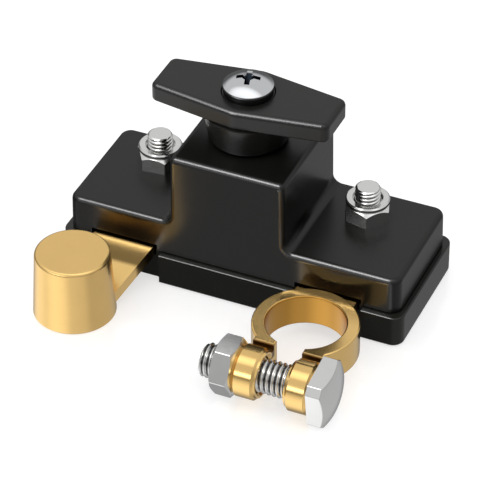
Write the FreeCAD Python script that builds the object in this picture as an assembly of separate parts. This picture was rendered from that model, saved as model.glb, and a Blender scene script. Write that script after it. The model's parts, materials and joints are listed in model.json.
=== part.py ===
import FreeCAD, Part
import math
import os

os.makedirs("parts", exist_ok=True)
V = FreeCAD.Vector

# Driving dimensions, millimetres. X along the body, terminals toward -Y, Z up.
TOUCH = 0.02
RUN = 0.05
PLAY = 0.15
CLEAR = 0.3

base_half_x = 42.7
base_half_y = 16.95
base_top = 8.0
base_floor = 2.2
base_wall = 4.0
base_corner = 2.8

lip = 1.3
cover_half_x = base_half_x - lip
cover_half_y = base_half_y - 1.55
cover_wall = 2.2
wing_top = 17.3
wing_roof = 2.4
tower_left = -15.1
tower_right = 13.0
tower_draft = 0.25
tower_top = 35.75
tower_roof = 2.6
cover_corner = 2.7
cover_edge = 1.3
cover_valley = 2.2
groove_height = 0.4
groove_depth = 0.7

axis_x = -2.1
handle_top = 48.1
handle_thick = 4.6
handle_half = 21.8
handle_mid = 9.45
handle_end = 6.0
handle_mid_corner = 5.5
handle_end_corner = 1.9
handle_edge = 1.25
hub_top_r = 10.3
hub_low_r = 9.2
hub_low = tower_top + CLEAR
drive_half = 4.0
drive_top = 42.2

strap_thick = 3.0
strap_top = 9.3
strap_low = strap_top - strap_thick
stud_y = base_half_y - 11.2
left_stud_x = -(cover_half_x - 14.1)
right_stud_x = cover_half_x - 16.1
left_strap = (left_stud_x - 7.2, left_stud_x + 7.8)
right_strap = (right_stud_x - 8.4, right_stud_x + 6.2)
left_recess = (left_strap[0] - 2.4, left_strap[1] + 1.9)
right_recess = (right_strap[0] - 1.1, right_strap[1] + 1.4)
recess_y = -(base_half_y - 2.25)
plate_back = base_half_y - 5.35

post_x = left_stud_x - 4.1
post_y = -(base_half_y + 16.25)
post_height = 16.7
post_top_r = 8.75
post_taper = 1.0 / 18.0

ring_x = right_stud_x - 0.6
ring_y = -(base_half_y + 12.55)
ring_in = 9.15
ring_out = 12.25
ring_low = 3.6
ring_high = 11.5
ear_r = 6.05
ear_y = ring_y - 15.75
ear_z = 7.0
ear_gap = 3.35
ear_wide = 5.9
ear_bevel = 0.5
ear_face_r = 5.3
ear_face_high = 0.45
arm_end = ear_y + 5.6
arm_step = 1.5
ring_edge = 0.4

bolt_r = 4.0
ear_bore = bolt_r + 0.25
head_flat = 12.5
head_high = 5.2
head_corner = 1.6
head_dome_r = 17.0
head_edge = 0.3
head_turn = 8.0
bolt_point = 0.7
nut8_flat = 12.3
nut8_high = 5.0
nut8_turn = 30.0
bolt_end = ring_x - 17.7

stud_r = 3.0
stud_root_r = 2.7
stud_top = 25.4
stud_head = 9.6
stud_head_high = 3.0
stud_point = 0.42
nut6_flat = 10.0
nut6_high = 5.1
nut6_hex = 3.75
collar_r = 5.15
collar_neck_r = 4.75
collar_edge = 0.3
nut_corner = 0.4
left_nut_turn = 245.0
right_nut_turn = 228.5

screw_r = 5.85
screw_rim = 0.5
screw_dome = 2.1
shank_r = 2.95
shank_low = 33.6
washer_r = 5.75
washer_high = 1.7
washer_seat = 0.3
seat_play = 0.2
seat_slope = 0.35

journal_r = 6.5
flange_r = 10.2
flange_low = 27.0
flange_top = 30.3
thrust_gap = 0.2
seal_r = 5.76
seal_wire = 0.73
seal_z = 34.35
lift = 3.0
rail_half = 1.2
rail_in = cover_half_y - 4.0
nose_ring = rail_in - 3.4
nose_r = 1.6
nose_tip = 22.0
cam_gap = 0.16
cam_in = nose_ring - 2.3
carrier_half_x = 9.0
carrier_half_y = rail_in + 1.2
bridge_half_x = 10.4
bridge_half_y = 4.0
rivet_r = 1.5
rivet_head_r = 2.5
tip_step = 7.7
tip_high = 1.0
tip_r = 2.5
tip_shank = 1.0
plate_neck = 4.6
bridge_thick = 2.0
bridge_low = strap_top + 2.0 * tip_high + TOUCH
carrier_low = bridge_low + bridge_thick
carrier_top = carrier_low + 3.0
spring_r = 3.6
spring_wire = 0.45

fix_x = base_half_x - 5.9
fix_y = base_half_y - 5.95
boss_r = 2.7
pillar_r = 3.6
fix_core = 1.22
fix_head = 2.75
fix_head_top = 2.2
fix_end = 13.6


def box(x0, y0, z0, x1, y1, z1):
    return Part.makeBox(x1 - x0, y1 - y0, z1 - z0, V(x0, y0, z0))


def rod(x, y, z, r, h, way=V(0, 0, 1)):
    return Part.makeCylinder(r, h, V(x, y, z), way)


def slab(points, z0, z1):
    ring = [V(x, y, z0) for x, y in points]
    face = Part.Face(Part.makePolygon(ring + [ring[0]]))
    return face.extrude(V(0, 0, z1 - z0))


def spin(points, x, y):
    # Solid of revolution about the upright line through x, y; points are radius and height.
    ring = [V(x + r, y, z) for r, z in points]
    face = Part.Face(Part.makePolygon(ring + [ring[0]]))
    return face.revolve(V(x, y, 0), V(0, 0, 1), 360)


def spin_x(points, y, z):
    # Solid of revolution about a line along X; points are place along X and radius.
    ring = [V(x, y, z + r) for x, r in points]
    face = Part.Face(Part.makePolygon(ring + [ring[0]]))
    return face.revolve(V(0, y, z), V(1, 0, 0), 360)


def pick(shape, test):
    return [e for e in shape.Edges if test(e)]


def rounded(shape, radius, test):
    edges = pick(shape, test)
    return shape.makeFillet(radius, edges)


def upright(e):
    a = e.Vertexes[0].Point
    b = e.Vertexes[-1].Point
    return abs(a.x - b.x) < 1e-6 and abs(a.y - b.y) < 1e-6 and abs(a.z - b.z) > 0.5


def level(e, z):
    return all(abs(v.Point.z - z) < 1e-4 for v in e.Vertexes) and abs(e.CenterOfMass.z - z) < 1e-4


def one(shape):
    solid = shape.removeSplitter()
    return solid.Solids[0] if len(solid.Solids) == 1 else solid


def save(shape, name):
    shape.exportStep("parts/" + name + ".step")


# Outline of the cover seen from the front, wings and tower in one line
def valley(x_low, x_high, side):
    k = (x_high - x_low) / (tower_top - wing_top)
    n = math.sqrt(1.0 + k * k)
    cx = x_low + k * cover_valley + side * cover_valley * n
    cz = wing_top + cover_valley
    touch = V(cx - side * cover_valley / n, 0, cz + side * cover_valley * k / n)
    mid_a = math.atan2(touch.z - cz, touch.x - cx)
    low_a = -math.pi / 2.0
    if mid_a > 0.5:
        mid_a -= 2.0 * math.pi
    a = 0.5 * (mid_a + low_a)
    mid = V(cx + cover_valley * math.cos(a), 0, cz + cover_valley * math.sin(a))
    return V(cx, 0, wing_top), mid, touch


def cover_outline():
    ll, lm, lt = valley(tower_left - tower_draft, tower_left, -1)
    rl, rm, rt = valley(tower_right + tower_draft, tower_right, 1)
    a = V(-cover_half_x, 0, base_top)
    b = V(-cover_half_x + 0.2, 0, wing_top)
    e = V(tower_left, 0, tower_top)
    f = V(tower_right, 0, tower_top)
    h = V(cover_half_x - 0.2, 0, wing_top)
    i = V(cover_half_x, 0, base_top)
    edges = [Part.makeLine(a, b), Part.makeLine(b, ll), Part.Arc(ll, lm, lt).toShape()]
    edges += [Part.makeLine(lt, e), Part.makeLine(e, f), Part.makeLine(f, rt)]
    edges += [Part.Arc(rt, rm, rl).toShape(), Part.makeLine(rl, h), Part.makeLine(h, i)]
    edges.append(Part.makeLine(i, a))
    return Part.Face(Part.Wire(edges))


def upper_housing():
    face = cover_outline()
    face.translate(V(0, -cover_half_y, 0))
    body = face.extrude(V(0, 2 * cover_half_y, 0))

    def end_corner(e):
        a = e.Vertexes[0].Point
        b = e.Vertexes[-1].Point
        at_end = abs(a.x) > cover_half_x - 0.3 and abs(b.x) > cover_half_x - 0.3
        return at_end and abs(a.y - b.y) < 1e-6 and abs(a.z - b.z) > 1.0
    body = rounded(body, cover_corner, end_corner)

    def crown(e):
        c = e.CenterOfMass
        z = [v.Point.z for v in e.Vertexes]
        if min(z) < wing_top - 0.1:
            return False
        on_face = abs(abs(c.y) - cover_half_y) < 1e-3
        along_y = len(e.Vertexes) == 2 and abs(e.Vertexes[0].Point.y - e.Vertexes[1].Point.y) > 5
        outer = abs(c.x) > cover_half_x - 3.5
        top = abs(c.z - tower_top) < 1e-3
        return on_face or outer or (along_y and top)
    body = rounded(body, cover_edge, crown)

    # Shadow groove just above the rim of the base
    rim = box(-base_half_x, -base_half_y, base_top - 1, base_half_x, base_half_y, base_top + groove_height)
    gx = cover_half_x - groove_depth
    gy = cover_half_y - groove_depth
    inner = box(-gx, -gy, base_top - 2, gx, gy, base_top + 1)
    inner = rounded(inner, cover_corner - groove_depth, upright)
    body = body.cut(rim.cut(inner))

    # Hollow inside with an even wall
    ix = cover_half_x - cover_wall
    iy = cover_half_y - cover_wall
    low = box(-ix, -iy, base_top - 1, ix, iy, wing_top - wing_roof)
    low = rounded(low, 1.4, upright)
    tx0 = tower_left - tower_draft + cover_wall + 0.2
    tx1 = tower_right + tower_draft - cover_wall - 0.2
    high = box(tx0, -iy, base_top, tx1, iy, tower_top - tower_roof)
    high = rounded(high, 1.2, upright)
    body = body.cut(low.fuse(high))

    # Bosses for the studs, the spindle and the fixing screws
    for sx in (left_stud_x, right_stud_x):
        body = body.fuse(rod(sx, stud_y, strap_top, 5.6, wing_top - wing_roof - strap_top + 0.5))
        arm = box(sx - 0.7, stud_y, strap_top + 2.2, sx + 0.7, iy + 0.5, wing_top - wing_roof + 0.5)
        body = body.fuse(arm)
    bearing_low = flange_top + thrust_gap
    body = body.fuse(rod(axis_x, 0, bearing_low, 9.2, tower_top - tower_roof - bearing_low + 0.5))
    for sx in (-1, 1):
        for sy in (-1, 1):
            boss = rod(sx * fix_x, sy * fix_y, base_top, boss_r, wing_top - wing_roof - base_top + 0.5)
            body = body.fuse(boss)
    # Rails that keep the contact carrier upright
    for sy in (-1, 1):
        y0, y1 = sorted((sy * rail_in, sy * (iy + 0.5)))
        body = body.fuse(box(axis_x - rail_half, y0, 11.5, axis_x + rail_half, y1, 25.0))
    # Stiffening ribs under the wings
    for x in (tower_left - 4.3, tower_right + 5.6):
        for sy in (-1, 1):
            y0, y1 = sorted((sy * (iy - 4.7), sy * (iy + 0.5)))
            body = body.fuse(box(x - 0.6, y0, strap_top + 1.6, x + 0.6, y1, wing_top - wing_roof + 0.5))

    for sx in (left_stud_x, right_stud_x):
        body = body.cut(rod(sx, stud_y, 5, stud_r + PLAY, 20))
    body = body.cut(rod(axis_x, 0, 25, journal_r + RUN, 15))
    for sx in (-1, 1):
        for sy in (-1, 1):
            body = body.cut(rod(sx * fix_x, sy * fix_y, 5, fix_core + RUN, fix_end + 0.4 - 5))
    # Openings above the two straps
    for x0, x1 in (left_strap, right_strap):
        body = body.cut(box(x0 - 0.9, -20, 5, x1 + 0.9, -cover_half_y + cover_wall + 0.5, strap_top + 0.6))
    return one(body)


def base_tray():
    body = box(-base_half_x, -base_half_y, 0, base_half_x, base_half_y, base_top)
    body = rounded(body, base_corner, upright)
    body = rounded(body, 0.7, lambda e: level(e, 0))
    body = rounded(body, 0.35, lambda e: level(e, base_top))
    ix = base_half_x - base_wall
    iy = base_half_y - base_wall
    hollow = rounded(box(-ix, -iy, base_floor, ix, iy, base_top + 3), 1.2, upright)
    body = body.cut(hollow)
    # Recesses in the front wall where the straps leave
    for x0, x1 in (left_recess, right_recess):
        notch = box(x0, -base_half_y - 1, -1, x1, recess_y, base_top + 1)
        notch = rounded(notch, 0.5, lambda e: upright(e) and abs(e.CenterOfMass.y - recess_y) < 1e-4)
        body = body.cut(notch)
    for x0, x1 in (left_strap, right_strap):
        body = body.cut(box(x0 - CLEAR, -base_half_y - 1, strap_low, x1 + CLEAR, -iy + 0.5, base_top + 1))
    # Locating rims that stand inside the cover
    rx = cover_half_x - cover_wall - CLEAR
    ry = cover_half_y - cover_wall - CLEAR
    for sx in (-1, 1):
        x0, x1 = sorted((sx * rx, sx * (rx - 1.3)))
        body = body.fuse(box(x0, -6.5, base_floor - 0.5, x1, 6.5, base_top + 2.0))
    x0, x1 = left_strap[1] + 3.1, right_strap[0] - 2.3
    body = body.fuse(box(x0, -ry, base_floor - 0.5, x1, -ry + 1.3, base_top + 2.0))
    x1 = fix_x - pillar_r - 1.3
    body = body.fuse(box(-x1, ry - 1.3, base_floor - 0.5, x1, ry, base_top + 2.0))
    # Pillars for the fixing screws
    for sx in (-1, 1):
        for sy in (-1, 1):
            body = body.fuse(rod(sx * fix_x, sy * fix_y, 0.8, pillar_r, base_top - 0.8))
    # Beds that carry the contact plates and hold the square stud heads
    for sx, (x0, x1) in ((left_stud_x, left_strap), (right_stud_x, right_strap)):
        bed = box(sx - 6.8, stud_y - 6.2, base_floor - 0.5, sx + 6.8, stud_y + 5.9, strap_low)
        h = 0.5 * stud_head + PLAY
        bed = bed.cut(box(sx - h, stud_y - h, strap_low - stud_head_high - 0.1, sx + h, stud_y + h, 9))
        body = body.fuse(bed)
        for y in (-11.6, -7.2, -3.6):
            body = body.fuse(box(x0 + 0.8, y - 0.7, base_floor - 0.5, x1 - 0.8, y + 0.7, strap_low))
    for sx in (-1, 1):
        x = axis_x + sx * tip_step
        for y in (-3.2, 3.2):
            body = body.fuse(box(x - 3.0, y - 0.8, base_floor - 0.5, x + 3.0, y + 0.8, strap_low))
    # Spring cup with a centring peg
    cup = rod(axis_x, 0, base_floor - 0.5, spring_r + spring_wire + 1.5, 2.2)
    cup = cup.cut(rod(axis_x, 0, base_floor, spring_r + spring_wire + 0.35, 5))
    peg = rod(axis_x, 0, base_floor - 0.5, spring_r - spring_wire - 0.35, 3.9)
    body = body.fuse(cup).fuse(peg)
    # Floor ribs
    x0, x1 = left_strap[1] + 5.1, right_strap[0] - 4.3
    for y in (3.45 - iy, iy - 3.45):
        body = body.fuse(box(x0, y - 0.6, base_floor - 0.5, x1, y + 0.6, base_floor + 2.4))
    for sx in (-1, 1):
        for sy in (-1, 1):
            body = body.cut(rod(sx * fix_x, sy * fix_y, -1, fix_core + PLAY, 20))
            body = body.cut(rod(sx * fix_x, sy * fix_y, -1, fix_head + PLAY, fix_head_top + 1))
    # Shallow pads under the tray
    ux = base_half_x - 14.3
    uy = base_half_y - 5.95
    under = rounded(box(-ux, -uy, -1, ux, uy, 0.5), 2.5, upright)
    for x in (-0.5 * ux, 0.0, 0.5 * ux):
        under = under.cut(box(x - 0.8, -uy - 1, -1, x + 0.8, uy + 1, 0.5))
    body = body.cut(under)
    return one(body)


# Handle with its tapering hub, a square socket below and a screw hole
def handle():
    low = handle_top - handle_thick
    pts = [(-handle_half, -handle_end), (0, -handle_mid), (handle_half, -handle_end)]
    pts += [(handle_half, handle_end), (0, handle_mid), (-handle_half, handle_end)]
    bar = slab([(axis_x + x, y) for x, y in pts], low, handle_top)
    bar = rounded(bar, handle_mid_corner, lambda e: upright(e) and abs(e.CenterOfMass.x - axis_x) < 1)
    far = handle_half - 1
    bar = rounded(bar, handle_end_corner, lambda e: upright(e) and abs(e.CenterOfMass.x - axis_x) > far)
    bar = rounded(bar, handle_edge, lambda e: level(e, handle_top))
    bar = rounded(bar, 0.5, lambda e: level(e, low))
    hub = Part.makeCone(hub_low_r, hub_top_r, low - hub_low, V(axis_x, 0, hub_low), V(0, 0, 1))
    hub = rounded(hub, 0.9, lambda e: len(e.Vertexes) == 1 and level(e, hub_low))
    body = bar.fuse(hub)
    # Washer seat with a bright sloping edge
    seat_low = handle_top - washer_seat
    seat_r = washer_r + seat_play
    pts = [(0, seat_low), (seat_r, seat_low), (seat_r + seat_slope, handle_top)]
    pts += [(seat_r + seat_slope, handle_top + 1), (0, handle_top + 1)]
    body = body.cut(spin(pts, axis_x, 0))
    h = drive_half + 0.1
    sq = box(axis_x - h, -h, hub_low - 1, axis_x + h, h, drive_top + 0.4)
    body = body.cut(rounded(sq, 0.8, upright))
    body = body.cut(rod(axis_x, 0, hub_low, shank_r + PLAY, 20))
    # Moulding pockets under both arms
    for sx in (-1, 1):
        pts = [(10.6, -5.1), (18.6, -3.6), (18.6, 3.6), (10.6, 5.1)]
        pocket = slab([(axis_x + sx * x, y) for x, y in pts], low - 1, low + 2.4)
        pocket = rounded(pocket, 0.8, upright)
        pocket = pocket.cut(box(axis_x - 30, -0.6, low - 2, axis_x + 30, 0.6, low + 5))
        body = body.cut(pocket)
    return one(body)


def handle_washer():
    low = handle_top - washer_seat
    ring = rod(axis_x, 0, low, washer_r, washer_high)
    ring = rounded(ring, 0.2, lambda e: len(e.Vertexes) == 1 and level(e, low + washer_high))
    return ring.cut(rod(axis_x, 0, low - 1, shank_r + PLAY, 5))


def cross_slot(x, y, top, size, deep, turn):
    # Tapered cross recess: two crossed wedges with a pointed core
    tool = None
    for k in (0, 90):
        pts = [(-size, top), (size, top), (0.42 * size, top - deep), (-0.42 * size, top - deep)]
        ring = [V(px, -0.62, pz) for px, pz in pts]
        wing = Part.Face(Part.makePolygon(ring + [ring[0]])).extrude(V(0, 1.24, 0))
        wing.rotate(V(0, 0, 0), V(0, 0, 1), k + turn)
        tool = wing if tool is None else tool.fuse(wing)
    core = Part.makeCone(0.2, 1.55, deep + 0.4, V(0, 0, top - deep - 0.4), V(0, 0, 1))
    tool = tool.fuse(core)
    tool.translate(V(x, y, 0))
    return tool


def handle_screw():
    low = handle_top - washer_seat + washer_high
    rim = low + screw_rim
    r_dome = (screw_r ** 2 + screw_dome ** 2) / (2 * screw_dome)
    ball = Part.makeSphere(r_dome, V(axis_x, 0, rim + screw_dome - r_dome))
    head = ball.common(rod(axis_x, 0, rim - 0.001, screw_r, screw_dome + 1))
    head = head.fuse(rod(axis_x, 0, low, screw_r, screw_rim))
    head = head.removeSplitter()
    head = rounded(head, 0.18, lambda e: level(e, rim) or level(e, low))
    shank = spin([(0, shank_low), (shank_r - 0.55, shank_low), (shank_r, shank_low + 0.6),
                  (shank_r, low + 0.2), (0, low + 0.2)], axis_x, 0)
    body = head.fuse(shank)
    body = body.cut(cross_slot(axis_x, 0, rim + screw_dome + 0.2, 3.15, 3.0, 15))
    return one(body)


# Spindle: square drive, journal, flange and a two-lobed face cam below
def rotor():
    body = rod(axis_x, 0, flange_top, journal_r, hub_low - flange_top - 0.15)
    h = drive_half
    tang = rounded(box(axis_x - h, -h, flange_top, axis_x + h, h, drive_top), 0.9, upright)
    body = body.fuse(tang)
    body = body.fuse(rod(axis_x, 0, flange_low, flange_r, flange_top - flange_low))
    mid = nose_tip + cam_gap + 0.5 * lift
    slope = 0.5 * lift / math.sin(math.pi / 4.0) / nose_ring
    tilt = math.degrees(math.atan(slope))
    skirt = rod(0, 0, mid - 3.2, flange_r, flange_low - mid + 3.7)
    skirt = skirt.cut(rod(0, 0, 0, cam_in, 50))
    for k in (0, 180):
        # Each half of the skirt ends in a plane that rises by the lift over a quarter turn
        cutter = box(-30, -30, -30, 30, 30, 0)
        cutter.rotate(V(0, 0, 0), V(1, 0, 0), -tilt)
        cutter.rotate(V(0, 0, 0), V(0, 0, 1), 45)
        cutter.translate(V(0, 0, mid))
        half = box(0, -30, -30, 30, 30, 60)
        half.rotate(V(0, 0, 0), V(0, 0, 1), 45)
        cutter = cutter.common(half)
        cutter.rotate(V(0, 0, 0), V(0, 0, 1), k)
        skirt = skirt.cut(cutter)
    skirt.translate(V(axis_x, 0, 0))
    body = body.fuse(skirt)
    body = body.fuse(rod(axis_x, 0, 24.6, 3.4, 3))
    body = body.cut(rod(axis_x, 0, shank_low - 0.6, shank_r + RUN, 20))
    groove_low = seal_z - seal_wire - 0.12
    groove_high = 2 * (seal_wire + 0.12)
    groove = rod(axis_x, 0, groove_low, journal_r + 1, groove_high)
    groove = groove.cut(rod(axis_x, 0, groove_low - 1, seal_r - seal_wire - TOUCH, groove_high + 2))
    body = body.cut(groove)
    return one(body)


def rotor_seal():
    return Part.makeTorus(seal_r, seal_wire, V(axis_x, 0, seal_z), V(0, 0, 1))


# Carrier with two cam noses and side slots for the rails
def contact_carrier():
    hx = carrier_half_x
    hy = carrier_half_y
    body = box(axis_x - hx, -hy, carrier_low, axis_x + hx, hy, carrier_top)
    body = rounded(body, 1.6, upright)
    for sy in (-1, 1):
        y0, y1 = sorted((sy * (rail_in - CLEAR), sy * (hy + 1)))
        slot = rail_half + CLEAR
        body = body.cut(box(axis_x - slot, y0, 0, axis_x + slot, y1, 40))
        y0, y1 = sorted((sy * (bridge_half_y + PLAY), sy * (bridge_half_y + PLAY + 1.45)))
        cheek = box(axis_x - hx + 1.5, y0, bridge_low + 0.4, axis_x + hx - 1.5, y1, carrier_low + 0.5)
        body = body.fuse(cheek)
        nose = rod(axis_x, sy * nose_ring, carrier_top - 0.5, nose_r, nose_tip - nose_r - carrier_top + 0.5)
        nose = nose.fuse(Part.makeSphere(nose_r, V(axis_x, sy * nose_ring, nose_tip - nose_r)))
        root = Part.makeCone(nose_r + 0.9, nose_r, 1.4, V(axis_x, sy * nose_ring, carrier_top), V(0, 0, 1))
        body = body.fuse(nose).fuse(root)
    for sx in (-1, 1):
        x0, x1 = sorted((axis_x + sx * 3.2, axis_x + sx * (hx - 1.6)))
        for sy in (-1, 1):
            y0, y1 = sorted((sy * 1.2, sy * (hy - 3.4)))
            body = body.cut(box(x0, y0, carrier_low + 1.6, x1, y1, 30))
    body = body.cut(rod(axis_x, 0, 0, rivet_r + RUN, 30))
    return one(body)


def contact_bridge():
    hx = bridge_half_x
    body = box(axis_x - hx, -bridge_half_y, bridge_low, axis_x + hx, bridge_half_y, carrier_low)
    body = rounded(body, 1.8, upright)
    body = body.cut(rod(axis_x, 0, 0, rivet_r + RUN, 30))
    for sx in (-1, 1):
        body = body.cut(rod(axis_x + sx * tip_step, 0, 0, tip_shank + RUN, 30))
    return one(body)


def bridge_rivet():
    r = rivet_head_r
    pts = [(0, bridge_low - 0.9), (r - 0.9, bridge_low - 0.9), (r, bridge_low - 0.4), (r, bridge_low)]
    pts += [(rivet_r, bridge_low), (rivet_r, carrier_top), (r, carrier_top), (r, carrier_top + 0.5)]
    pts += [(r - 0.8, carrier_top + 0.9), (0, carrier_top + 0.9)]
    return spin(pts, axis_x, 0)


def contact_tips(face_z, root_z):
    # A pair of riveted buttons, head on one side and shank through the carrier bar
    up = 1 if root_z > face_z else -1
    solids = []
    for sx in (-1, 1):
        x = axis_x + sx * tip_step
        pts = [(0, face_z), (tip_r - 0.3, face_z), (tip_r, face_z + up * 0.3)]
        pts += [(tip_r, face_z + up * tip_high)]
        pts += [(tip_shank, face_z + up * tip_high), (tip_shank, root_z), (0, root_z)]
        solids.append(spin(pts, x, 0))
    return Part.makeCompound(solids)


def return_spring(low, high, turns):
    # Round wire on a helix with closed, flat ground ends
    r = spring_r
    w = spring_wire
    pts = []
    steps = 8
    total = int(turns * steps)
    for i in range(total + 1):
        t = i / steps
        closed = 1.0
        a = min(t, closed)
        b = min(max(t - closed, 0.0), turns - 2 * closed)
        c = max(t - (turns - closed), 0.0)
        pitch_end = 2 * w * 1.04
        span = high - low - 2 * w - 2 * pitch_end
        z = low + w + a * pitch_end + b * span / (turns - 2 * closed) + c * pitch_end
        ang = 2 * math.pi * t
        pts.append(V(axis_x + r * math.cos(ang), r * math.sin(ang), z))
    curve = Part.BSplineCurve()
    curve.interpolate(pts)
    path = Part.Wire(curve.toShape())
    start = curve.value(curve.FirstParameter)
    way = curve.tangent(curve.FirstParameter)[0]
    loop = Part.Wire(Part.makeCircle(w, start, way))
    body = path.makePipeShell([loop], True, True)
    return body if body.ShapeType == "Solid" else body.Solids[0]


# Battery post with its strap and the contact plate inside, one casting
def post_terminal():
    foot_r = post_top_r + post_height * post_taper
    cone = Part.makeCone(foot_r, post_top_r, post_height, V(post_x, post_y, 0), V(0, 0, 1))
    cone = rounded(cone, 0.85, lambda e: len(e.Vertexes) == 1 and level(e, post_height))
    cone = cone.makeChamfer(0.35, [e for e in cone.Edges if len(e.Vertexes) == 1 and level(e, 0)])
    front_y = -(base_half_y - 0.75)
    drop_y = front_y - 0.2
    end_y = post_y + 2.7
    end_z = 5.0
    side = [(plate_back, strap_top), (drop_y, strap_top), (end_y, end_z), (end_y, end_z - strap_thick)]
    side += [(drop_y, strap_low), (plate_back, strap_low)]
    ring = [V(-60, y, z) for y, z in side]
    sheet = Part.Face(Part.makePolygon(ring + [ring[0]])).extrude(V(60, 0, 0))
    bend = [e for e in sheet.Edges if abs(e.CenterOfMass.y - drop_y) < 1e-4 and e.Length > 50]
    sheet = sheet.makeFillet(4.0, bend)
    x0, x1 = left_strap
    plan = [(x0, plate_back), (x0, front_y), (post_x - 8.2, post_y + 3.6), (post_x, post_y)]
    neck_x = axis_x - tip_step + 3.0
    plan += [(post_x + 8.75, post_y + 2.9), (x1, front_y), (x1, -plate_neck), (neck_x, -plate_neck)]
    plan += [(neck_x, plate_neck), (x1, plate_neck), (x1, plate_back)]
    plate = slab(plan, -5, 30)
    plate = rounded(plate, 1.5, lambda e: upright(e) and e.CenterOfMass.y > -10)
    strap = sheet.common(plate)
    for sy in (-1, 1):
        strap = strap.cut(rod(-fix_x, sy * fix_y, 0, pillar_r + CLEAR, 20))
    body = cone.fuse(strap)
    body = body.cut(rod(left_stud_x, stud_y, 0, stud_r + PLAY, 20))
    body = body.cut(rod(axis_x - tip_step, 0, 0, tip_shank + RUN, 20))
    return one(body)


def clamp_terminal():
    body = rod(ring_x, ring_y, ring_low, ring_out, ring_high - ring_low)
    # Arms from the ring to the two ears, stepped down behind the barrels
    for sx in (-1, 1):
        near = ring_x + sx * ear_gap
        wide = ring_x + sx * (ear_gap + ear_wide - 0.8)
        root = ring_x + sx * (ring_out - 1.6)
        plan = [(near, ring_y - 2), (near, ear_y + 3), (wide, ear_y + 3), (wide, ring_y - 7.4)]
        plan += [(root, ring_y - 5.0), (root, ring_y - 2)]
        body = body.fuse(slab(plan, ring_low, ring_high))
    gap = box(ring_x - ear_gap, ear_y - 10, -1, ring_x + ear_gap, ring_y - 4, 30)
    body = body.cut(gap).cut(rod(ring_x, ring_y, 0, ring_in, 30)).removeSplitter()
    step = box(ring_x - ring_out, ear_y, ring_high - arm_step, ring_x + ring_out, arm_end, ring_high + 1)
    body = body.cut(step).removeSplitter()
    body = rounded(body, ring_edge, lambda e: level(e, ring_high) or level(e, ring_low))
    # Two barrel ears on the bolt line, bevelled, with a raised face at both ends
    for sx in (-1, 1):
        near = ring_x + sx * ear_gap
        far = ring_x + sx * (ear_gap + ear_wide)
        x0, x1 = min(near, far), max(near, far)
        body = body.fuse(spin_x(barrel(x0, x1), ear_y, ear_z))
    body = body.cut(rod(ring_x - 20, ear_y, ear_z, ear_bore, 40, V(1, 0, 0)))
    for x in (ring_x - ear_gap, ring_x + ear_gap + ear_wide):
        flare = [(x - 0.6, 0), (x - 0.6, ear_bore), (x + 0.2, ear_bore + 0.8), (x + 0.2, 0)]
        body = body.cut(spin_x(flare, ear_y, ear_z))
    # Strap and contact plate
    x0, x1 = right_strap
    plan = [(x0, plate_back), (x0, ring_y + 3), (x1, ring_y + 3), (x1, plate_back)]
    plate = slab(plan, strap_low, strap_top)
    arm = box(axis_x + tip_step - 3.0, -plate_neck, strap_low, x0 + 1, plate_neck, strap_top)
    plate = rounded(plate.fuse(arm).removeSplitter(), 1.5, lambda e: upright(e) and e.CenterOfMass.y > -10)
    plate = plate.cut(rod(ring_x, ring_y, 0, ring_in + 1.0, 30))
    body = body.fuse(plate)
    body = body.cut(rod(right_stud_x, stud_y, 0, stud_r + PLAY, 20))
    body = body.cut(rod(axis_x + tip_step, 0, 0, tip_shank + RUN, 20))
    return one(body)


def barrel(x0, x1):
    # Outline of one ear: raised face, bevel, full radius, bevel, raised face
    low = x0 + ear_face_high
    high = x1 - ear_face_high
    pts = [(x0, 0), (x0, ear_face_r), (low, ear_face_r + 0.2), (low, ear_r - ear_bevel)]
    pts += [(low + ear_bevel, ear_r), (high - ear_bevel, ear_r), (high, ear_r - ear_bevel)]
    pts += [(high, ear_face_r + 0.2), (x1, ear_face_r), (x1, 0)]
    return pts


def stud(x):
    head_low = strap_low - stud_head_high
    h = 0.5 * stud_head
    head = rounded(box(x - h, stud_y - h, head_low, x + h, stud_y + h, strap_low), 0.8, upright)
    free_end = wing_top + nut6_high
    pts = [(0, strap_low - 0.5), (stud_root_r, strap_low - 0.5), (stud_root_r, free_end)]
    pts += [(stud_r, free_end + 0.1), (stud_r, stud_top - stud_point)]
    pts += [(stud_r - stud_point, stud_top), (0, stud_top)]
    return one(head.fuse(spin(pts, x, stud_y)))


def hexagon(flat, high, turn, bevel_r, slope):
    # Hexagonal block standing on z = 0, long edges eased, corners cut from above by a cone
    r = flat / math.sqrt(3.0)
    pts = []
    for k in range(6):
        a = math.radians(turn + 60 * k)
        pts.append((r * math.cos(a), r * math.sin(a)))
    body = rounded(slab(pts, 0, high), nut_corner, upright)
    drop = (r - bevel_r) * math.tan(math.radians(slope))
    rim = [(0, -1), (r, -1), (r, high - drop), (bevel_r, high), (0, high)]
    return body.common(spin(rim, 0, 0))


def countersink(z, way, bore, sink):
    # Cone that opens a bore to the radius sink at height z, open toward way
    reach = sink - bore
    pts = [(0, z + way * 0.1), (sink + 0.1, z + way * 0.1), (bore, z - way * reach), (0, z - way * reach)]
    return spin(pts, 0, 0)


def stud_nut(x, turn):
    # Hexagon with a round collar above a narrow neck
    body = hexagon(nut6_flat, nut6_hex, turn, 0.49 * nut6_flat, 42)
    top = nut6_high
    neck = nut6_hex + 0.2
    pts = [(0, nut6_hex - 0.1), (collar_neck_r, nut6_hex - 0.1), (collar_neck_r, neck)]
    pts += [(collar_r, neck + 0.2), (collar_r, top - collar_edge), (collar_r - collar_edge, top), (0, top)]
    body = body.fuse(spin(pts, 0, 0))
    body = body.cut(rod(0, 0, -1, stud_r + RUN, top + 2))
    body = body.cut(countersink(top, 1, stud_r + RUN, stud_r + 0.6))
    body.translate(V(x, stud_y, wing_top))
    return one(body)


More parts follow.
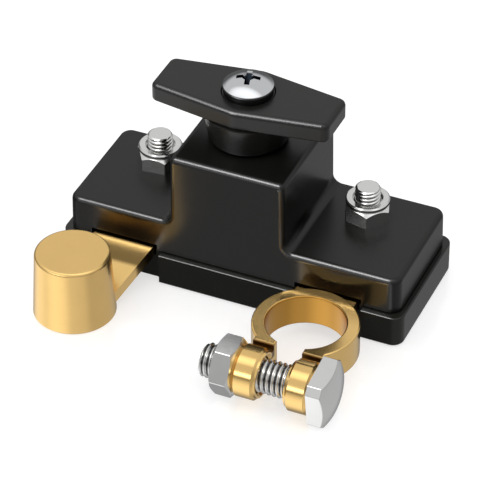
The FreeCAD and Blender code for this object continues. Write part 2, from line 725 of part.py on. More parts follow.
def clamp_nut():
    body = hexagon(nut8_flat, nut8_high, nut8_turn, 0.47 * nut8_flat, 30)
    under = body.mirror(V(0, 0, 0.5 * nut8_high), V(0, 0, 1))
    body = body.common(under).cut(rod(0, 0, -1, bolt_r + RUN, nut8_high + 2))
    body = body.cut(countersink(nut8_high, 1, bolt_r + RUN, bolt_r + 0.7))
    body = body.cut(countersink(0, -1, bolt_r + RUN, bolt_r + 0.7))
    # Upright axis laid along -X, sideways Y kept, then put on the bolt line
    body.rotate(V(0, 0, 0), V(0, 1, 0), -90)
    face = ring_x - ear_gap - ear_wide
    body.translate(V(face, ear_y, ear_z))
    return one(body)


def clamp_bolt():
    face = ring_x + ear_gap + ear_wide
    crown = face + head_high
    h = 0.5 * head_flat
    # Square head with bevelled corners and eased edges, its outer face a shallow dome
    head = box(face, -h, -h, crown + 1.0, h, h)
    head = head.makeChamfer(head_corner, [e for e in head.Edges if e.BoundBox.XLength > head_high])
    head = head.common(Part.makeSphere(head_dome_r, V(crown - head_dome_r, 0, 0)))
    head = rounded(head, head_edge, lambda e: e.CenterOfMass.x > face + 0.5)
    head.rotate(V(0, 0, 0), V(1, 0, 0), head_turn)
    head.translate(V(0, ear_y, ear_z))
    pts = [(bolt_end, 0), (bolt_end, bolt_r - bolt_point), (bolt_end + bolt_point, bolt_r)]
    pts += [(face + 0.5, bolt_r), (face + 0.5, 0)]
    return one(head.fuse(spin_x(pts, ear_y, ear_z)))


def housing_screws():
    solids = []
    for sx in (-1, 1):
        for sy in (-1, 1):
            x = sx * fix_x
            y = sy * fix_y
            pts = [(0, 0.35), (fix_head - 0.45, 0.35), (fix_head, 0.8), (fix_head, fix_head_top)]
            pts += [(fix_core, fix_head_top), (fix_core, fix_end - 1.0), (0.5, fix_end), (0, fix_end)]
            body = spin(pts, x, y)
            tool = cross_slot(0, 0, 1.4, 1.7, 1.2, 0)
            tool.rotate(V(0, 0, 0), V(1, 0, 0), 180)
            tool.translate(V(x, y, 1.75))
            solids.append(one(body.cut(tool)))
    return Part.makeCompound(solids)


save(upper_housing(), "upper_housing")
save(base_tray(), "base_tray")
save(handle(), "handle")
save(handle_washer(), "handle_washer")
save(handle_screw(), "handle_screw")
save(rotor(), "rotor")
save(rotor_seal(), "rotor_seal")
save(contact_carrier(), "contact_carrier")
save(contact_bridge(), "contact_bridge")
save(bridge_rivet(), "bridge_rivet")
save(contact_tips(bridge_low - tip_high, carrier_low), "moving_tips")
save(contact_tips(strap_top + tip_high, strap_low), "fixed_tips")
save(return_spring(base_floor, bridge_low, 5.0), "return_spring")
save(post_terminal(), "post_terminal")
save(clamp_terminal(), "clamp_terminal")
save(stud(left_stud_x), "left_stud")
save(stud(right_stud_x), "right_stud")
save(stud_nut(left_stud_x, left_nut_turn), "left_stud_nut")
save(stud_nut(right_stud_x, right_nut_turn), "right_stud_nut")
save(clamp_nut(), "clamp_nut")
save(clamp_bolt(), "clamp_bolt")
save(housing_screws(), "housing_screws")
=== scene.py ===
"""Looks of a battery cut-off switch: finishes, screw threads, floor, lights and camera.

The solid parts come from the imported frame. This file gives them their finishes, stands cut threads
in place of the plain studs and bolt, and sets the stage.
"""

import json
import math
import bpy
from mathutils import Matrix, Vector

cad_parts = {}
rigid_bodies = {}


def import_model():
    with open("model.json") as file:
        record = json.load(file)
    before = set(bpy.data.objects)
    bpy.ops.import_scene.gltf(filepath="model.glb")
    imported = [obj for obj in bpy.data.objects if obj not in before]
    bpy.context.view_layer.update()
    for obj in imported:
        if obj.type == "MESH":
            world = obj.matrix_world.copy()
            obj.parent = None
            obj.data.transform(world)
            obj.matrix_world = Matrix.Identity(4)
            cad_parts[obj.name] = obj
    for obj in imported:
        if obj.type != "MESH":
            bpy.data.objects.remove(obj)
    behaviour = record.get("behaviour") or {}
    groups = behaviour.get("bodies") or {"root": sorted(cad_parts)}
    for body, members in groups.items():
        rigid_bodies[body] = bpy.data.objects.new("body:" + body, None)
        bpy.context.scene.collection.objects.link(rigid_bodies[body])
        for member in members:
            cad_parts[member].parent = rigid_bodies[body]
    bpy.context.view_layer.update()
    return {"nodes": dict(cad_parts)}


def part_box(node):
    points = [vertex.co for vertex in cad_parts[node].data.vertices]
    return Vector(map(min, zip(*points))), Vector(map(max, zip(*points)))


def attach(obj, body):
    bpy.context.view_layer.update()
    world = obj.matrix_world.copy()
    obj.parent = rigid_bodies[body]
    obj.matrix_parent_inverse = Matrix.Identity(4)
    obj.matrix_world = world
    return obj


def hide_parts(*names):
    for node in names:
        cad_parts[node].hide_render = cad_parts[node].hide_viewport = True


bl_info = {
    "name": "Battery Cut-off Switch",
    "version": (1, 0, 0),
    "blender": (4, 5, 0),
    "location": "View3D > Sidebar > Cut-off Switch",
    "description": "Finishes, screw threads and a plain studio for a battery cut-off switch",
    "category": "Object",
}

from typing import NamedTuple

import bmesh
import bpy
import numpy as np
from bpy.props import FloatProperty, FloatVectorProperty, PointerProperty
from mathutils import Matrix, Vector

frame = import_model()

MM = 0.001

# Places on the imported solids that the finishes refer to
COVER_FRONT_Y = (-15.35 * MM, -15.05 * MM)
HUB_FOOT_Z = (43.2 * MM, 43.6 * MM)
SCREW_DOME = 2.1 * MM
SLOT_SHADE_DEPTH = (0.12 * MM, 0.5 * MM)
SLOT_SHADE_SQUARE = (7.0 * MM * MM, 11.0 * MM * MM)

# Painted shade and painted reflection that the brass and the plate turn to in places, and the seal's
# own rubber colour
# Painted reflection of the dark housing in the clamp's brass
PAINTED_HOUSING_REFLECTION = (0.27, 0.16, 0.04)
# Painted shade at the root of the post's strap
PAINTED_STRAP_SHADE = (0.06, 0.036, 0.01)
# Painted shade inside the clamp ring's bore
PAINTED_BORE_SHADE = (0.52, 0.27, 0.055)
# Painted shade in the inside corners at the clamp's ears
PAINTED_CORNER_SHADE = (0.22, 0.13, 0.05)
# Painted shade in the screw's cross slot
PAINTED_SLOT_SHADE = (0.035, 0.045, 0.06)
# Painted shade in the roots of the threads
PAINTED_THREAD_SHADE = (0.13, 0.13, 0.125)
RUBBER = (0.015, 0.015, 0.015)

# Threaded pieces
STUD_RADIUS = 3.0 * MM
STUD_HEAD_HIGH = 3.0 * MM
STUD_HEAD_HALF = 4.8 * MM
STUD_HEAD_POWER = 9.0
STUD_OVERLAP = 0.5 * MM
STUD_BRIGHT_END = 0.15 * MM
BOLT_RADIUS = 4.0 * MM
BOLT_CUT_X = 29.3 * MM
BOLT_OVERLAP = 0.3 * MM
BOLT_ROOT_STOP = 30.0 * MM
END_DOME = 0.02 * MM
MERGE = 1e-7
DEGENERATE = 1e-8
SMOOTH_DEGREES = 38.0
COLUMNS = 96
ROWS_PER_PITCH = 14

# Stage, in metres and degrees
STAGE_CENTRE = Vector((0.0, 0.0, 0.02))
FLOOR_HALF = 20.0
FLOOR_Z = -0.02 * MM
EYE = (0.21664, -0.49739, 0.42488)
EYE_HEADING, EYE_PITCH, EYE_ROLL = 23.710, 37.857, -0.158

# Which materials see the softboxes of a group: collection name, material names
PLATE = ("bright_zinc", "bolt_zinc", "left_stud_zinc", "right_stud_zinc")
RECEIVERS = {
    "glow": ("sees_floor_glow",
             ("turned_brass", "polished_brass", "bright_screw", "satin_handle", *PLATE)),
    "shiny": ("sees_glint_light", ("bright_screw", *PLATE)),
    "gold": ("sees_strip_light", ("polished_brass",)),
    "grip": ("sees_handle_light", ("satin_handle",)),
    "post": ("sees_rim_light", ("turned_brass",)),
    "screw": ("sees_top_light", ("bright_screw",)),
    "black": ("sees_edge_light", ("black_cover", "black_tray", "black_nylon")),
}

# Softboxes: name, azimuth, elevation, distance, width, height, brightness setting and the share
# of it, group that sees it
SOFTBOXES = (
    ("key_softbox", -116, 62, 0.9, 0.45, 0.45, "key", 1.0, "black"),
    ("strip_softbox", -110, 17, 1.0, 1.1, 0.32, "strip", 1.0, "gold"),
    ("top_softbox", -88, 80, 0.8, 1.9, 0.6, "top", 1.0, "screw"),
    ("glint_softbox", -119, 62, 0.9, 0.42, 0.42, "glint", 1.0, "shiny"),
    ("handle_softbox", -118, 50, 0.9, 0.6, 0.6, "edge", 0.75, "grip"),
    ("rim_softbox", -112, 22, 0.9, 1.0, 0.4, "glint", 0.3, "post"),
    ("edge_softbox", -119, 61, 0.9, 0.52, 0.46, "edge", 1.0, "black"),
    ("floor_glow_left", -142, -38, 1.2, 3.0, 2.2, "floor_glow", 1.0, "glow"),
    ("floor_glow_front", -82, -38, 1.2, 2.6, 2.2, "floor_glow", 0.42, "glow"),
    ("floor_glow_right", 20, -38, 1.2, 3.4, 2.2, "floor_glow", 0.15, "glow"),
    ("floor_glow_back", 150, -38, 0.6, 1.2, 1.1, "floor_glow", 0.4, "glow"),
)


def colour(name, description, default):
    return FloatVectorProperty(name=name, description=description, subtype="COLOR", size=3,
                               min=0.0, max=1.0, default=default)


def length(name, description, default):
    return FloatProperty(name=name, description=description, unit="LENGTH", min=0.0,
                         default=default)


def level(name, description, default, lowest=0.0):
    return FloatProperty(name=name, description=description, min=lowest, default=default)


class SwitchColours(bpy.types.PropertyGroup):
    housing: colour("Housing", "Moulded cover and tray", (0.0014, 0.0014, 0.0011))
    handle: colour("Handle", "Moulded turning handle", (0.0022, 0.0022, 0.0018))
    inner: colour("Inner mouldings", "Rotor and contact carrier", (0.09, 0.085, 0.08))
    brass: colour("Brass", "Post and clamp", (0.88, 0.59, 0.225))
    zinc: colour("Zinc plate", "Studs, nuts and bolt", (0.76, 0.76, 0.75))
    chrome: colour("Bright screw", "Screw in the handle", (0.64, 0.655, 0.67))
    copper: colour("Copper", "Contact bridge", (0.80, 0.42, 0.26))
    silver: colour("Silver", "Contact faces", (0.90, 0.89, 0.86))


class SwitchSizes(bpy.types.PropertyGroup):
    stud_pitch: length("Stud pitch", "Thread pitch of the two studs", 1.0 * MM)
    bolt_pitch: length("Bolt pitch", "Thread pitch of the clamp bolt", 1.25 * MM)
    thread_depth: FloatProperty(name="Thread depth",
                                description="Depth of a thread as a share of its pitch",
                                min=0.2, max=0.7, default=0.55)


class SwitchStage(bpy.types.PropertyGroup):
    floor: colour("Floor", "Colour of the floor", (0.92, 0.92, 0.92))
    sky: level("Room", "Brightness of the room above", 0.76)
    key: level("Key light", "Front softbox that only the mouldings see", 1.0)
    strip: level("Strip light", "Low strip light that only the clamp sees", 2.6)
    glint: level("Glint light", "Small light that the plated steel sees, and the post in part", 6.0)
    top: level("Top light", "Overhead light that only the screw sees", 0.9)
    edge: level("Edge light", "Softbox that the mouldings see, and the handle in part", 32.0)
    floor_glow: level("Floor glow", "Brightness of the floor as the metal sees it", 0.92)
    lens: level("Lens", "Focal length in millimetres", 210.4, lowest=1.0)


class Link:
    """One socket of a shader, so that sums on sockets read like sums on numbers."""

    def __init__(self, sheet, socket):
        self.sheet = sheet
        self.socket = socket

    def _math(self, operation, first, second):
        return self.sheet.node("ShaderNodeMath", {"operation": operation}, {0: first, 1: second})

    def __add__(self, other):
        return self._math("ADD", self, other)

    def __mul__(self, other):
        return self._math("MULTIPLY", self, other)

    def __sub__(self, other):
        return self._math("SUBTRACT", self, other)

    def __rsub__(self, other):
        return self._math("SUBTRACT", other, self)

    def __pow__(self, other):
        return self._math("POWER", self, other)


class Sheet:
    """The node tree of a material, light or world, filled through one method."""

    def __init__(self, owner):
        owner.use_nodes = True
        self.owner = owner
        self.tree = owner.node_tree
        self.tree.nodes.clear()

    def node(self, kind, settings, inputs, output=0):
        made = self.tree.nodes.new(kind)
        for key, value in settings.items():
            setattr(made, key, value)
        for key, value in inputs.items():
            socket = made.inputs[key]
            if isinstance(value, Link):
                self.tree.links.new(value.socket, socket)
            elif socket.type == "RGBA":
                socket.default_value = (*value, 1.0)
            else:
                socket.default_value = value
        return Link(self, made.outputs[output]) if made.outputs else None

    def parts(self, vector):
        """The three parts of a vector as separate numbers."""
        made = self.tree.nodes.new("ShaderNodeSeparateXYZ")
        self.tree.links.new(vector.socket, made.inputs[0])
        return [Link(self, made.outputs[k]) for k in range(3)]

    def ramp(self, value, low, high, start=0.0, end=1.0):
        """Smooth change from start to end as value goes from low to high."""
        return self.node("ShaderNodeMapRange", {"interpolation_type": "SMOOTHSTEP"},
                         {"Value": value, "From Min": low, "From Max": high,
                          "To Min": start, "To Max": end})


class Finish(Sheet):
    """A new material whose patterns lie on the object coordinates."""

    def __init__(self, name):
        super().__init__(bpy.data.materials.new(name))
        self.place = self.node("ShaderNodeTexCoord", {}, {}, "Object")

    def noise(self, scale, detail=3.0):
        """Noise whose grains are about 1 / scale metres across."""
        return self.node("ShaderNodeTexNoise", {"noise_dimensions": "3D"},
                         {"Vector": self.place, "Scale": scale, "Detail": detail,
                          "Roughness": 0.55})

    def axes(self):
        """The three object coordinates as separate numbers."""
        return self.parts(self.place)

    def blend(self, share, first, second):
        """A colour between two colours."""
        return self.node("ShaderNodeMix", {"data_type": "RGBA"},
                         {0: share, 6: first, 7: second}, 2)

    def bump(self, height, distance):
        return self.node("ShaderNodeBump", {},
                         {"Height": height, "Distance": distance, "Strength": 1.0})

    def material(self, **values):
        """The material, with these values on its shader; names use underscores for spaces."""
        inputs = {key.replace("_", " "): value for key, value in values.items()}
        shader = self.node("ShaderNodeBsdfPrincipled", {}, inputs)
        self.node("ShaderNodeOutputMaterial", {}, {"Surface": shader})
        return self.owner


class Band(NamedTuple):
    """From y low to y high the surface's colour turns, by that share, to shade, which paints in
    shade and dark reflections.
    """
    low: float
    high: float
    share: float
    shade: tuple


class Bore(NamedTuple):
    """The wall of an upright hole, darker with painted shade and duller than the rest."""
    x: float
    y: float
    radius: float


class Corner(NamedTuple):
    """Above z a narrow band across Y is darkened with painted shade, where an inside corner lies."""
    y: float
    half_width: float
    z: float


class Recess(NamedTuple):
    """Below the dome of a screw head the cross slot is darkened with painted shade and made duller.
    """
    x: float
    y: float
    top: float
    radius: float
    dome: float


class Thread(NamedTuple):
    """A thread about a line through centre along one axis, with painted shade at its roots up to
    stop.
    """
    along: int
    centre: tuple
    radius: float
    depth: float
    stop: float


def darker(shade, by):
    return tuple(by * c for c in shade)


def moulded(name, shade, rough, polish=0.0, ior=1.42, hub=False):
    """Injection-moulded plastic: fine spark-eroded grain, slow flow marks and a slightly uneven
    gloss.

    polish is the weight of the glossier film on the flat front of the cover; hub polishes the
    turned foot of the handle."""
    s = Finish(name)
    flow = s.noise(90.0, 2.0)
    fine = s.noise(2600.0, 2.0)
    cloud = s.noise(500.0)
    tint = s.blend(flow * 0.7 + cloud * 0.3, darker(shade, 0.8), darker(shade, 1.25))
    gloss = cloud * 0.04 + (rough - 0.03) + fine * 0.02
    height = fine * 0.5 + flow * 0.5
    x, y, z = s.axes()
    if hub:
        gloss = gloss * s.ramp(z, *HUB_FOOT_Z, 0.8, 1.0)
    values = {"Base_Color": tint, "Roughness": gloss, "IOR": ior,
              "Normal": s.bump(height, 0.0015 * MM)}
    if polish:
        front = s.ramp(y, *COVER_FRONT_Y, polish, 0.0)
        values.update({"Coat_Weight": front, "Coat_IOR": 2.1, "Coat_Roughness": 0.18})
    return s.material(**values)


def cast_brass(name, shade, rough, band=None, bore=None, corner=None):
    """Satin brass with soft casting clouds, and the painted shade and painted reflection that a
    Band, Bore or Corner names.
    """
    s = Finish(name)
    cloud = s.noise(220.0)
    speck = s.noise(2400.0, 2.0)
    x, y, z = s.axes()
    tint = s.blend(cloud, darker(shade, 0.95), tuple(min(1.0, 1.04 * c) for c in shade))
    gloss = cloud * 0.03 + (rough - 0.02) + speck * 0.02
    if band:
        tint = s.blend(s.ramp(y, band.low, band.high) * band.share, tint, band.shade)
    if bore:
        dx = x - bore.x
        dy = y - bore.y
        # Painted shade on the bore's wall; the added roughness makes it duller
        inside = s.ramp((dx * dx + dy * dy) ** 0.5, bore.radius, bore.radius + 0.15 * MM, 1.0, 0.0)
        tint = s.blend(inside, tint, PAINTED_BORE_SHADE)
        gloss = gloss + inside * 0.12
    if corner:
        # Painted shade in an inside corner, with a duller gloss
        off = ((y - corner.y) * (y - corner.y)) ** 0.5
        corner_shading = s.ramp(off, 0.6 * corner.half_width, corner.half_width, 1.0, 0.0)
        corner_shading = corner_shading * s.ramp(z, corner.z, corner.z + 0.5 * MM)
        tint = s.blend(corner_shading, tint, PAINTED_CORNER_SHADE)
        gloss = gloss + corner_shading * 0.2
    height = speck * 0.6 + cloud * 0.4
    return s.material(Base_Color=tint, Metallic=1.0, Roughness=gloss,
                  Normal=s.bump(height, 0.0015 * MM))


def plated(name, shade, rough, cloudy=0.04, recess=None, thread=None):
    """Plated steel: bright, with faint clouds in the plate and fine tool marks, and the painted
    shade that a Recess or a Thread names."""
    s = Finish(name)
    cloud = s.noise(420.0)
    speck = s.noise(2600.0, 2.0)
    tint = s.blend(cloud, darker(shade, 0.94), shade)
    gloss = cloud * cloudy + (rough - 0.5 * cloudy) + speck * 0.02
    if recess:
        x, y, z = s.axes()
        dx = x - recess.x
        dy = y - recess.y
        square = dx * dx + dy * dy
        skin = recess.top - square * (recess.dome / recess.radius ** 2)
        # Painted shade in the cross slot under the dome, with a duller gloss
        slot_shading = s.ramp(skin - z, *SLOT_SHADE_DEPTH) * s.ramp(square, *SLOT_SHADE_SQUARE, 1.0, 0.0)
        tint = s.blend(slot_shading, tint, PAINTED_SLOT_SHADE)
        gloss = gloss + slot_shading * 0.15
    if thread:
        place = s.axes()
        du, dv = (place[k] - thread.centre[k] for k in range(3) if k != thread.along)
        low = thread.radius - thread.depth
        # Painted shade in the thread's valleys, ending at stop
        valley_shading = s.ramp((du * du + dv * dv) ** 0.5, low + 0.1 * thread.depth,
                        low + 0.6 * thread.depth, 1.0, 0.0)
        valley_shading = valley_shading * s.ramp(place[thread.along], thread.stop - 0.1 * MM, thread.stop, 1.0, 0.0)
        tint = s.blend(valley_shading, tint, PAINTED_THREAD_SHADE)
    return s.material(Base_Color=tint, Metallic=1.0, Roughness=gloss,
                  Normal=s.bump(speck, 0.001 * MM))


def rubbery(name, shade):
    """Matt rubber with a fine uneven skin."""
    s = Finish(name)
    speck = s.noise(3000.0)
    tint = s.blend(speck, darker(shade, 0.7), darker(shade, 1.3))
    return s.material(Base_Color=tint, Roughness=speck * 0.15 + 0.5,
                  Normal=s.bump(speck, 0.004 * MM))


def dress(names, material):
    """Puts a finish into every material slot of the named solids."""
    for name in names:
        for slot in frame["nodes"][name].material_slots:
            slot.material = material


def shell_faces(rows, cols):
    """Four-sided faces between the rings of a surface that closes on itself along its columns."""
    r = np.arange(rows - 1)[:, None] * cols
    c = np.arange(cols)[None, :]
    d = (c + 1) % cols
    return np.stack([r + c, r + d, r + cols + d, r + cols + c], -1).reshape(-1, 4).tolist()


def ring_shell(rings):
    """The points and faces of rings of points, shape (rows, columns, 3)."""
    return rings.reshape(-1, 3), shell_faces(*rings.shape[:2])


def threaded_piece(name, shells, material, stands_for):
    """Makes one mesh of the housing's from (points, faces) shells, in place of a plain solid."""
    all_points, all_faces = [], []
    for points, faces in shells:
        start = len(all_points)
        all_points.extend(np.asarray(points).tolist())
        all_faces.extend([[start + k for k in face] for face in faces])
    mesh = bpy.data.meshes.new(name)
    mesh.from_pydata(all_points, [], all_faces)
    bm = bmesh.new()
    bm.from_mesh(mesh)
    bmesh.ops.remove_doubles(bm, verts=bm.verts, dist=MERGE)
    bmesh.ops.dissolve_degenerate(bm, edges=bm.edges, dist=DEGENERATE)
    bmesh.ops.recalc_face_normals(bm, faces=bm.faces)
    bm.to_mesh(mesh)
    bm.free()
    mesh.polygons.foreach_set("use_smooth", np.ones(len(mesh.polygons), bool))
    mesh.set_sharp_from_angle(angle=math.radians(SMOOTH_DEGREES))
    obj = bpy.data.objects.new(name, mesh)
    bpy.context.scene.collection.objects.link(obj)
    mesh.materials.append(material)
    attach(obj, "housing")
    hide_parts(stands_for)


def ridge(turns):
    """Thread outline over one pitch, t from 0 to 1: (0.5 - 0.5 cos 2 pi t) ^ 0.75, a rounded
    rolled thread."""
    return (0.5 - 0.5 * np.cos(2.0 * math.pi * turns)) ** 0.75


def threaded(outer, pitch, depth, start, end):
    """Surface of a screw thread about the Z line: the radius at turn angle a and height h is
    outer - depth + depth * ridge(h / pitch - a / 2 pi), held under a cone at the free end, where
    the last rows close in on the axis as a flat end with a broken edge."""
    rows = int((end - start) / pitch * ROWS_PER_PITCH)
    h = np.linspace(start, end, rows)[:, None]
    a = np.linspace(0.0, 2.0 * math.pi, COLUMNS, endpoint=False)[None, :]
    radius = outer - depth + depth * ridge(h / pitch - a / (2.0 * math.pi))
    cone = outer - 0.9 * depth + 1.2 * (end - h)
    radius = np.minimum(radius, cone)
    ring = np.stack([radius * np.cos(a), radius * np.sin(a), h + 0.0 * a], -1)
    base = np.stack([0.0 * a, 0.0 * a, start + 0.0 * a], -1)
    rise = np.array([0.0, 0.0, END_DOME])
    inner = ring[-1] * np.array([0.9, 0.9, 1.0]) + rise
    pole = ring[-1] * np.array([0.0, 0.0, 1.0]) + rise
    return np.concatenate([base, ring, inner[None], pole[None]], 0)


def squared(half, power, low, high, edge=0.3 * MM):
    """Square head as a surface: at angle a the radius is half / (|cos a|^n + |sin a|^n)^(1/n),
    drawn in by the edge size at both faces, with a pole at each end."""
    a = np.linspace(0.0, 2.0 * math.pi, COLUMNS, endpoint=False)
    r = half / (np.abs(np.cos(a)) ** power + np.abs(np.sin(a)) ** power) ** (1.0 / power)
    rows = ((0.0 * r, low), (r - edge, low), (r, low + edge),
            (r, high - edge), (r - edge, high), (0.0 * r, high))
    return np.stack([np.stack([rad * np.cos(a), rad * np.sin(a), z + 0.0 * a], -1)
                     for rad, z in rows], 0)


def add_stud(side, shade, pitch, depth):
    """Cuts the thread of one upright stud and gives it its square head."""
    low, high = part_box(side + "_stud")
    x = 0.5 * (low.x + high.x)
    y = 0.5 * (low.y + high.y)
    head_top = low.z + STUD_HEAD_HIGH
    rings = threaded(STUD_RADIUS, pitch, depth, head_top - STUD_OVERLAP, high.z)
    head = squared(STUD_HEAD_HALF, STUD_HEAD_POWER, low.z, head_top)
    for block in (rings, head):
        block[..., 0] += x
        block[..., 1] += y
    thread = Thread(2, (x, y, 0.0), STUD_RADIUS, depth, high.z - STUD_BRIGHT_END)
    steel = plated(side + "_stud_zinc", shade, 0.15, thread=thread)
    threaded_piece(side + "_stud_threaded", [ring_shell(rings), ring_shell(head)], steel,
                   side + "_stud")


def solid_beyond(name, cut_x):
    """The points and faces of a solid's mesh above a value of x, closed at the cut."""
    bm = bmesh.new()
    bm.from_mesh(frame["nodes"][name].data)
    bmesh.ops.remove_doubles(bm, verts=bm.verts, dist=MERGE)
    bmesh.ops.bisect_plane(bm, geom=bm.verts[:] + bm.edges[:] + bm.faces[:], dist=MERGE,
                           plane_co=(cut_x, 0, 0), plane_no=(-1, 0, 0), clear_outer=True)
    rim = [e for e in bm.edges if e.is_boundary]
    bmesh.ops.holes_fill(bm, edges=rim, sides=0)
    bm.verts.index_update()
    points = [tuple(v.co) for v in bm.verts]
    faces = [[v.index for v in f.verts] for f in bm.faces]
    bm.free()
    return points, faces


def add_bolt(shade, pitch, depth):
    """Cuts the thread of the clamp bolt, which keeps the head of its solid."""
    low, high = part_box("clamp_bolt")
    axis_y = 0.5 * (low.y + high.y)
    axis_z = 0.5 * (low.z + high.z)
    head = solid_beyond("clamp_bolt", BOLT_CUT_X)
    rings = threaded(BOLT_RADIUS, pitch, depth, -BOLT_CUT_X - BOLT_OVERLAP, -low.x)
    # The thread is made about Z and laid along -X, onto the bolt's line
    laid = np.stack([-rings[..., 2], rings[..., 1] + axis_y, rings[..., 0] + axis_z], -1)
    thread = Thread(0, (0.0, axis_y, axis_z), BOLT_RADIUS, depth, BOLT_ROOT_STOP)
    steel = plated("bolt_zinc", shade, 0.15, thread=thread)
    threaded_piece("clamp_bolt_threaded", [ring_shell(laid), head], steel, "clamp_bolt")


class SWITCH_OT_mouldings(bpy.types.Operator):
    """Give the moulded cover, tray, handle and washer their black finishes"""

    bl_idname = "switch.mouldings"
    bl_label = "Black mouldings"

    def execute(self, context):
        shades = context.scene.switch_colours
        dress(["upper_housing"], moulded("black_cover", shades.housing, 0.29, polish=1.0))
        dress(["base_tray"], moulded("black_tray", darker(shades.housing, 3.5), 0.26))
        dress(["handle"], moulded("satin_handle", shades.handle, 0.31, ior=1.45, hub=True))
        dress(["handle_washer"], moulded("black_nylon", darker(shades.housing, 0.5), 0.35))
        return {"FINISHED"}


class SWITCH_OT_terminals(bpy.types.Operator):
    """Give the post and the clamp their brass"""

    bl_idname = "switch.terminals"
    bl_label = "Brass terminals"

    def execute(self, context):
        brass = context.scene.switch_colours.brass
        # Painted shade: a dark band across the post's strap where it meets the housing
        strap_root_shading = Band(-22.6 * MM, -21.2 * MM, 0.8, PAINTED_STRAP_SHADE)
        # Painted reflection: the clamp's brass turns browner toward the dark housing, as the housing
        # reflected in it would
        cover_reflection = Band(-28.0 * MM, -19.0 * MM, 0.7, PAINTED_HOUSING_REFLECTION)
        ring_bore = Bore(24.7 * MM, -29.5 * MM, 9.3 * MM)
        ear_corner = Corner(-40.1 * MM, 0.9 * MM, 8.0 * MM)
        dress(["post_terminal"], cast_brass("turned_brass", brass, 0.24, strap_root_shading))
        dress(["clamp_terminal"],
              cast_brass("polished_brass", brass, 0.16, cover_reflection, ring_bore, ear_corner))
        return {"FINISHED"}


class SWITCH_OT_hardware(bpy.types.Operator):
    """Give the screws and nuts their plating, and cut the threads of the studs and the bolt"""

    bl_idname = "switch.hardware"
    bl_label = "Plated hardware"

    def execute(self, context):
        shades = context.scene.switch_colours
        sizes = context.scene.switch_sizes
        dress(["left_stud_nut", "right_stud_nut", "clamp_nut", "housing_screws"],
              plated("bright_zinc", shades.zinc, 0.16))
        low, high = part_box("handle_screw")
        recess = Recess(0.5 * (low.x + high.x), 0.0, high.z, 0.5 * (high.x - low.x), SCREW_DOME)
        dress(["handle_screw"], plated("bright_screw", shades.chrome, 0.09, 0.02, recess))
        for side in ("left", "right"):
            add_stud(side, shades.zinc, sizes.stud_pitch, sizes.thread_depth * sizes.stud_pitch)
        add_bolt(shades.zinc, sizes.bolt_pitch, sizes.thread_depth * sizes.bolt_pitch)
        return {"FINISHED"}


class SWITCH_OT_inner_works(bpy.types.Operator):
    """Give the contact bridge, spring, rotor and seal inside the housing their finishes"""

    bl_idname = "switch.inner_works"
    bl_label = "Inner works"

    def execute(self, context):
        shades = context.scene.switch_colours
        dress(["rotor", "contact_carrier"], moulded("inner_moulding", shades.inner, 0.45))
        dress(["contact_bridge"], cast_brass("rolled_copper", shades.copper, 0.28))
        dress(["bridge_rivet"], cast_brass("rivet_brass", shades.brass, 0.25))
        dress(["moving_tips", "fixed_tips"], plated("contact_silver", shades.silver, 0.22))
        dress(["return_spring"], plated("spring_wire", darker(shades.zinc, 0.65), 0.28))
        dress(["rotor_seal"], rubbery("black_rubber", RUBBER))
        return {"FINISHED"}


def softbox(name, azimuth, elevation, distance, width, height, radiance, receivers):
    """Rectangular light aimed at the stage's centre from that compass angle from +X, angle above
    the floor and distance. Its brightness falls away smoothly toward its edges."""
    data = bpy.data.lights.new(name, "AREA")
    data.shape = "RECTANGLE"
    data.size = width
    data.size_y = height
    data.energy = math.pi * width * height
    s = Sheet(data)
    u, v, _ = s.parts(s.node("ShaderNodeNewGeometry", {}, {}, "Parametric"))
    fade = (u * (1.0 - u)) * (v * (1.0 - v)) * 16.0
    emission = s.node("ShaderNodeEmission", {}, {"Strength": fade ** 0.8 * radiance})
    s.node("ShaderNodeOutputLight", {}, {"Surface": emission})
    obj = bpy.data.objects.new(name, data)
    bpy.context.scene.collection.objects.link(obj)
    a = math.radians(azimuth)
    e = math.radians(elevation)
    way = Vector((math.cos(a) * math.cos(e), math.sin(a) * math.cos(e), math.sin(e)))
    spot = STAGE_CENTRE + distance * way
    obj.location = spot
    obj.rotation_euler = (STAGE_CENTRE - spot).to_track_quat("-Z", "Y").to_euler()
    obj.light_linking.receiver_collection = receivers


def wearing(label, materials):
    """A collection of the meshes in the scene whose first material is one of those named."""
    made = bpy.data.collections.new(label)
    for obj in bpy.context.scene.objects:
        if obj.type == "MESH" and obj.material_slots and obj.material_slots[0].name in materials:
            made.objects.link(obj)
    return made


def add_floor(scene, shade):
    """Floor, mostly white of its own, so that only the soft contact shadows show."""
    mesh = bpy.data.meshes.new("floor")
    w = FLOOR_HALF
    mesh.from_pydata([(-w, -w, 0), (w, -w, 0), (w, w, 0), (-w, w, 0)], [], [(0, 1, 2, 3)])
    floor = bpy.data.objects.new("floor", mesh)
    scene.collection.objects.link(floor)
    s = Finish("floor_paper")
    tone = s.blend(s.noise(40.0, 2.0), darker(shade, 0.99), tuple(shade))
    mesh.materials.append(s.material(Base_Color=darker(shade, 0.62), Roughness=0.16, IOR=1.7,
                                 Emission_Color=tone, Emission_Strength=0.66))
    floor.visible_glossy = False
    floor.visible_shadow = False
    floor.location.z = FLOOR_Z


def add_room(scene, sky):
    """Room, bright above, dim below the floor's level and a little brighter to the right."""
    scene.world = bpy.data.worlds.new("studio")
    s = Sheet(scene.world)
    x, y, z = s.parts(s.node("ShaderNodeTexCoord", {}, {}, "Generated"))
    below = s.ramp(x, -0.2, 0.35, 0.13, 0.42)
    light = s.node("ShaderNodeMix", {}, {0: s.ramp(z, 0.08, 0.45), 2: below, 3: sky})
    back = s.node("ShaderNodeBackground", {}, {"Color": (1.0, 1.0, 1.0), "Strength": light})
    s.node("ShaderNodeOutputWorld", {}, {"Surface": back})


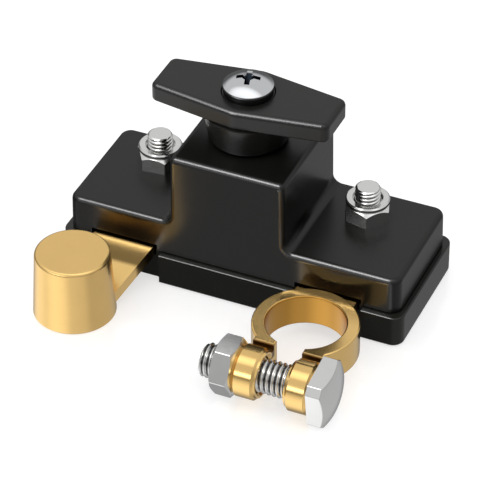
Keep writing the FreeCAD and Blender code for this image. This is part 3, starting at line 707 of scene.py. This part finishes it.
def add_camera(scene, lens):
    """Camera at the photograph's viewpoint."""
    camera = bpy.data.cameras.new("camera")
    camera.lens = lens
    camera.sensor_width = 36.0
    camera.sensor_fit = "HORIZONTAL"
    camera.clip_start = 0.01
    camera.clip_end = 60.0
    eye = bpy.data.objects.new("camera", camera)
    scene.collection.objects.link(eye)
    a, e, r = math.radians(EYE_HEADING), math.radians(EYE_PITCH), math.radians(EYE_ROLL)
    back_way = Vector((math.sin(a) * math.cos(e), -math.cos(a) * math.cos(e), math.sin(e)))
    right = Vector((math.cos(a), math.sin(a), 0.0))
    up = back_way.cross(right)
    turned_right = math.cos(r) * right + math.sin(r) * up
    turned_up = -math.sin(r) * right + math.cos(r) * up
    turn = Matrix((turned_right, turned_up, back_way)).transposed()
    eye.matrix_world = Matrix.Translation(EYE) @ turn.to_4x4()
    scene.camera = eye


class SWITCH_OT_stage(bpy.types.Operator):
    """Set the pale floor, the soft studio light and the camera"""

    bl_idname = "switch.stage"
    bl_label = "Stage"

    def execute(self, context):
        scene = context.scene
        stage = scene.switch_stage
        scene.view_settings.view_transform = "Standard"
        add_floor(scene, stage.floor)
        add_room(scene, stage.sky)
        seen_by = {group: wearing(*told) for group, told in RECEIVERS.items()}
        for *place, setting, share, group in SOFTBOXES:
            softbox(*place, share * getattr(stage, setting), seen_by[group])
        add_camera(scene, stage.lens)
        return {"FINISHED"}


class SWITCH_PT_panel(bpy.types.Panel):
    """Lists the pieces' operators and settings"""

    bl_idname = "SWITCH_PT_panel"
    bl_label = "Battery cut-off switch"
    bl_space_type = "VIEW_3D"
    bl_region_type = "UI"
    bl_category = "Cut-off Switch"

    def draw(self, context):
        scene = context.scene
        for operator in OPERATORS:
            self.layout.operator(operator.bl_idname)
        for group in (scene.switch_colours, scene.switch_sizes, scene.switch_stage):
            for key in group.__annotations__:
                self.layout.prop(group, key)


OPERATORS = (SWITCH_OT_mouldings, SWITCH_OT_terminals, SWITCH_OT_hardware, SWITCH_OT_inner_works,
             SWITCH_OT_stage)
CLASSES = (SwitchColours, SwitchSizes, SwitchStage, *OPERATORS, SWITCH_PT_panel)


def register():
    for cls in CLASSES:
        bpy.utils.register_class(cls)
    bpy.types.Scene.switch_colours = PointerProperty(type=SwitchColours)
    bpy.types.Scene.switch_sizes = PointerProperty(type=SwitchSizes)
    bpy.types.Scene.switch_stage = PointerProperty(type=SwitchStage)


def unregister():
    for name in ("switch_stage", "switch_sizes", "switch_colours"):
        delattr(bpy.types.Scene, name)
    for cls in reversed(CLASSES):
        bpy.utils.unregister_class(cls)


def main():
    register()
    bpy.ops.switch.mouldings()
    bpy.ops.switch.terminals()
    bpy.ops.switch.hardware()
    bpy.ops.switch.inner_works()
    bpy.ops.switch.stage()


if __name__ == "__main__":
    main()
